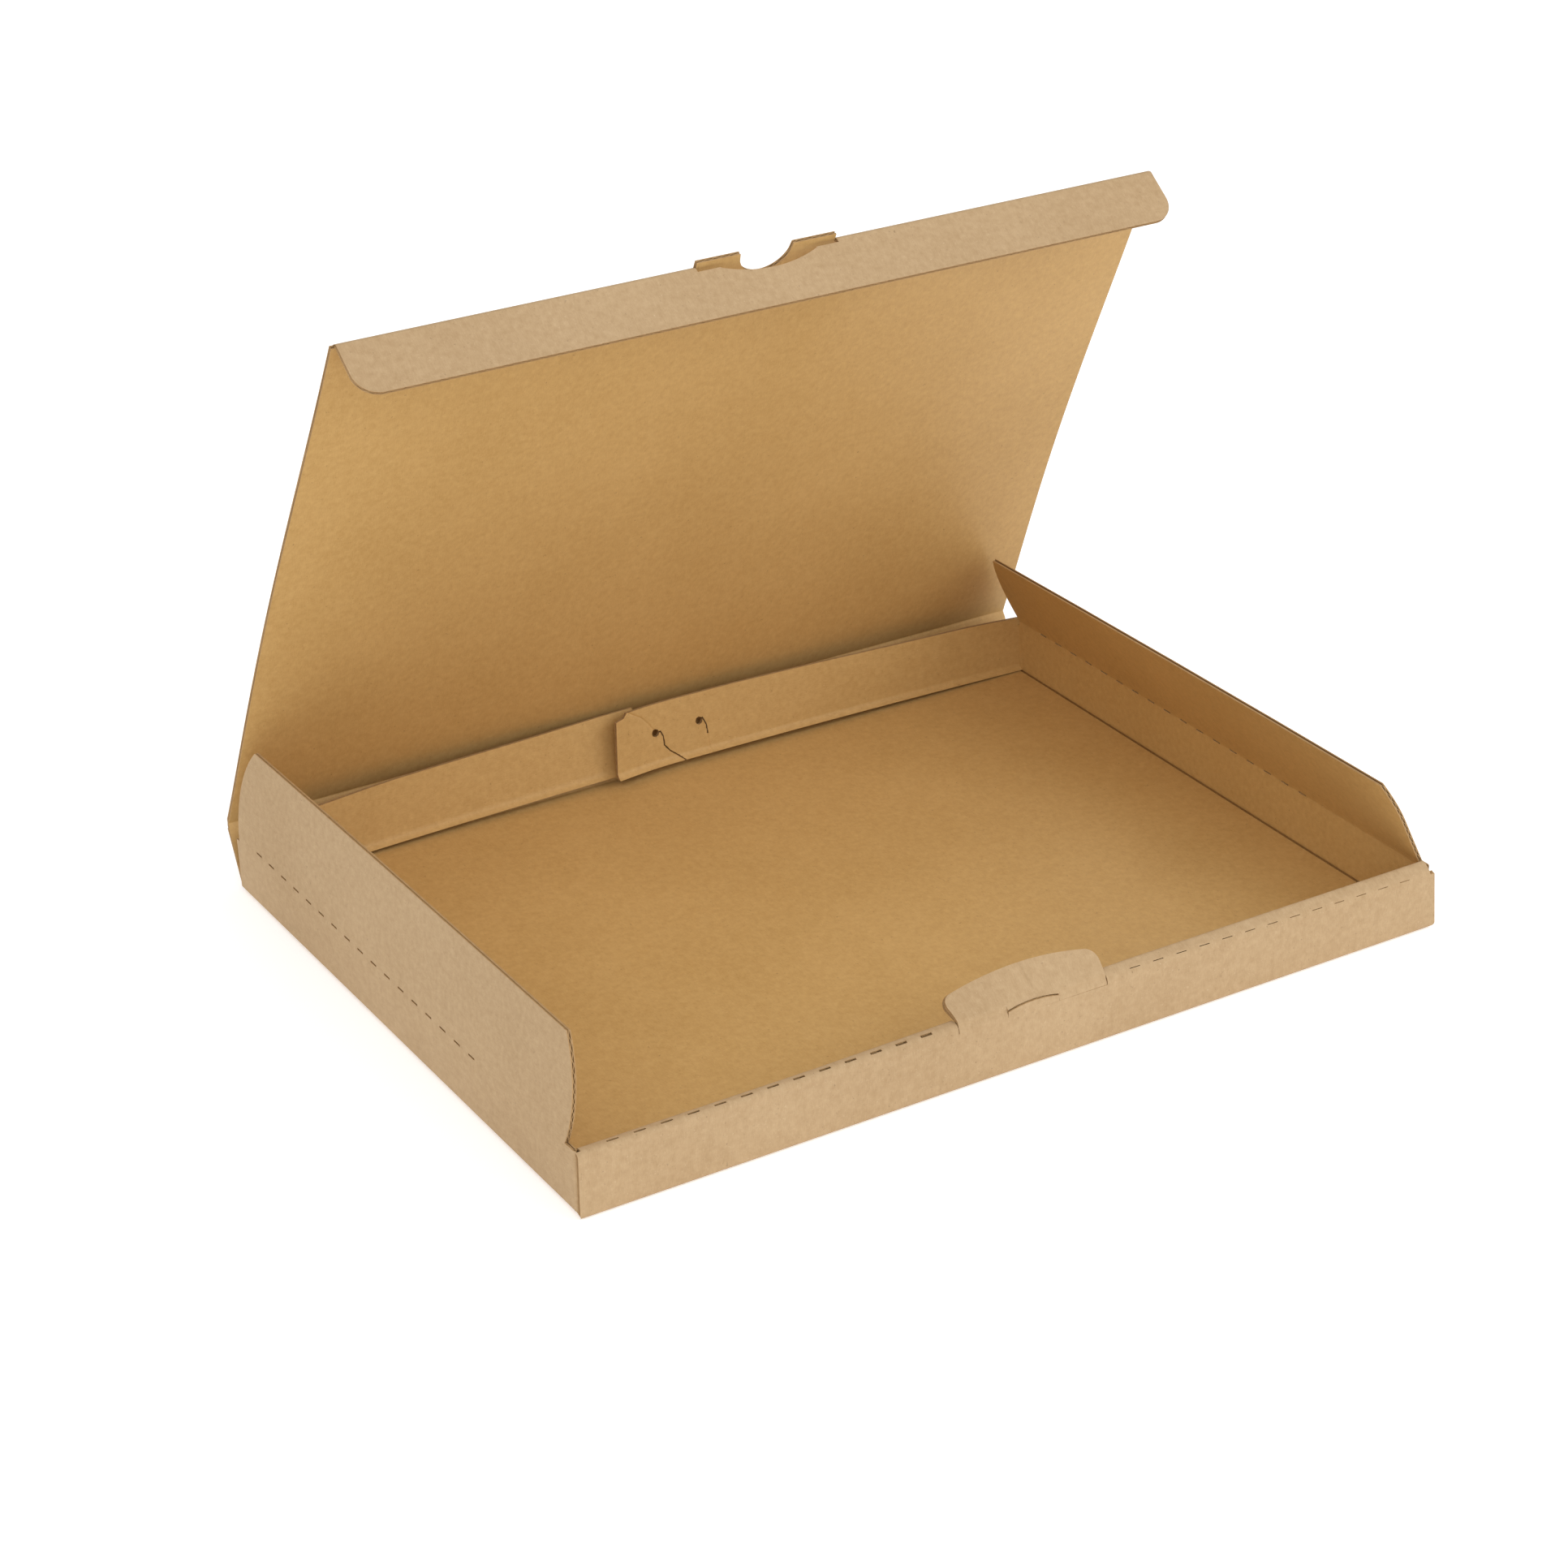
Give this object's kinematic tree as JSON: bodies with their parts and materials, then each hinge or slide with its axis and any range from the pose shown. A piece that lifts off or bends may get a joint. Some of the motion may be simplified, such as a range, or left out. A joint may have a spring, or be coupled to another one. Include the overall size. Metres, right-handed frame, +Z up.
{
  "type": "flat mailer box",
  "caption": "Flat die-cut mailer box of thin brown corrugated board, standing open: shallow tray, hinged lid with tuck flap, side flaps and a front locking tongue.",
  "frame": {"origin": "middle of the tray's floor, on its underside", "axes": "+X to the right along the front wall, +Y from the front wall to the lid's hinge, +Z up"},
  "size_m": [0.336, 0.2607, 0.235],
  "materials": {
    "board": "matt brown kraft liner, darker golden on the inside, fine fibre specks"
  },
  "bodies": {
    "tray": {"tray": "board"},
    "back_wall": {"back_wall": "board"},
    "lid": {"lid": "board"},
    "tuck_flap": {"tuck_flap": "board"},
    "left_side_flap": {"left_side_flap": "board"},
    "right_side_flap": {"right_side_flap": "board"},
    "front_tongue": {"front_tongue": "board"}
  },
  "joints": [
    {"name": "back_wall_crease", "type": "hinge", "parent": "tray", "child": "back_wall", "pos_m": [0, 0.12425, 0.00075], "axis": [-1, 0, 0], "range_deg": [-1.5, 63]},
    {"name": "lid_crease", "type": "hinge", "parent": "back_wall", "child": "lid", "pos_m": [0, 0.13499, 0.02182], "axis": [-1, 0, 0], "range_deg": [-1.5, 52.7]},
    {"name": "tuck_flap_crease", "type": "hinge", "parent": "lid", "child": "tuck_flap", "pos_m": [0, 0.03351, 0.23267], "axis": [-1, 0, 0], "range_deg": [-18.7, 101.3]},
    {"name": "left_side_flap_crease", "type": "hinge", "parent": "tray", "child": "left_side_flap", "pos_m": [-0.16725, 0, 0.0226], "axis": [0, -1, 0], "range_deg": [-86, 94]},
    {"name": "right_side_flap_crease", "type": "hinge", "parent": "tray", "child": "right_side_flap", "pos_m": [0.16725, 0, 0.0226], "axis": [0, 1, 0], "range_deg": [-64, 116]},
    {"name": "front_tongue_crease", "type": "hinge", "parent": "tray", "child": "front_tongue", "pos_m": [0, -0.12425, 0.02325], "axis": [1, 0, 0], "range_deg": [-48, 72]}
  ]
}
